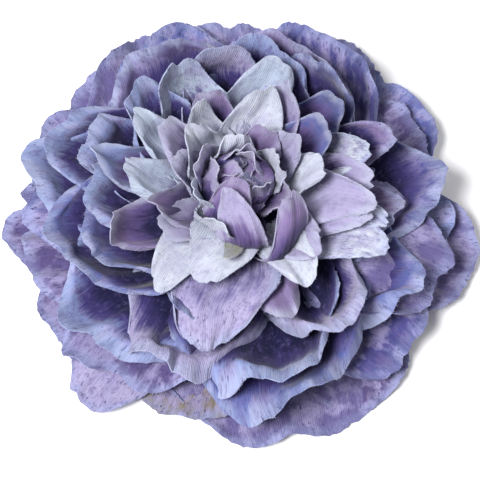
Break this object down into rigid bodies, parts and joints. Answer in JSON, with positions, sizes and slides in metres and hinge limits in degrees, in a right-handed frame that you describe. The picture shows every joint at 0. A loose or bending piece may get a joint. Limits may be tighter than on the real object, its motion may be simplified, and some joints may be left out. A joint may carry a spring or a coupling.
{
  "type": "fabric peony flower head",
  "caption": "Artificial peony head of die-cut fabric petal layers stacked on a plastic peg with a calyx, lying on its back.",
  "frame": {"origin": "middle of the calyx's flat base, where the flower head rests", "axes": "+Z along the peg from the calyx to the heart; +X to the right and +Y away from the viewer when the head is seen from the front"},
  "size_m": [0.124, 0.1244, 0.0387],
  "materials": {
    "green_plastic": "matte moulded plastic",
    "clear_plastic": "milky moulded plastic",
    "outer_fabric": "woven polyester, mottled purple grey",
    "middle_fabric": "woven polyester, blue violet",
    "inner_fabric": "woven polyester, pale lilac blue",
    "heart_fabric": "woven polyester, pale lilac with mauve bases"
  },
  "bodies": {
    "root": {"calyx": "green_plastic", "centre_peg": "green_plastic", "spacer_1": "clear_plastic", "spacer_2": "clear_plastic", "spacer_3": "clear_plastic", "outer_layer_1": "outer_fabric", "outer_layer_2": "outer_fabric", "outer_layer_3": "outer_fabric", "outer_layer_4": "outer_fabric", "middle_layer_1": "middle_fabric", "middle_layer_2": "middle_fabric", "middle_layer_3": "middle_fabric", "middle_layer_4": "middle_fabric", "inner_layer_1": "inner_fabric", "inner_layer_2": "inner_fabric", "inner_layer_3": "inner_fabric", "inner_layer_4": "inner_fabric", "heart_layer_1": "heart_fabric", "heart_layer_2": "heart_fabric", "heart_layer_3": "heart_fabric", "heart_layer_4": "heart_fabric"}
  },
  "joints": []
}
